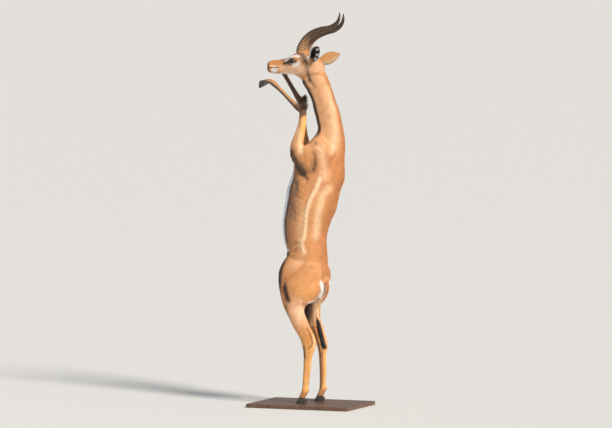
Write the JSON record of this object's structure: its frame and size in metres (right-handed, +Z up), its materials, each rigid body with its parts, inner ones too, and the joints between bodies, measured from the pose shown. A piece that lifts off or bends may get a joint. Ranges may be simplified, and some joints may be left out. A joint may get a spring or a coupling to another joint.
{
  "type": "gerenuk",
  "caption": "Life-size long-necked antelope standing upright on its hind legs to browse, forelegs raised and bent, lyre-shaped ringed horns, on a plain flat base.",
  "frame": {"origin": "centre of the base's flat underside", "axes": "+Z up; -X the way the animal faces, so +X is towards its back; -Y its left side"},
  "size_m": [0.62, 0.44, 2.2494],
  "materials": {
    "coat": "short smooth tan coat, pale below and white at the rump and eye",
    "dark_hair": "coarse black-brown hair",
    "horn": "ringed grey-black horn, smoother at the tips",
    "eye": "wet dark gloss",
    "hoof": "dark satin hoof",
    "base": "satin dark wood"
  },
  "bodies": {
    "root": {"brush_left": "dark_hair", "brush_right": "dark_hair", "ear_left": "coat", "ear_right": "coat", "eye_left": "eye", "eye_right": "eye", "forearm_left": "coat", "forearm_right": "coat", "front_cannon_left": "coat", "front_cannon_right": "coat", "front_pastern_left": "coat", "front_pastern_right": "coat", "head": "coat", "hind_cannon_left": "coat", "hind_cannon_right": "coat", "hind_pastern_left": "coat", "hind_pastern_right": "coat", "hoof_front_left_inner": "hoof", "hoof_front_left_outer": "hoof", "hoof_front_right_inner": "hoof", "hoof_front_right_outer": "hoof", "hoof_hind_left_inner": "hoof", "hoof_hind_left_outer": "hoof", "hoof_hind_right_inner": "hoof", "hoof_hind_right_outer": "hoof", "horn_left": "horn", "horn_right": "horn", "neck": "coat", "shank_left": "coat", "shank_right": "coat", "stand_base": "base", "tail": "coat", "tail_tuft": "dark_hair", "thigh_left": "coat", "thigh_right": "coat", "torso": "coat", "upper_arm_left": "coat", "upper_arm_right": "coat"}
  },
  "joints": []
}
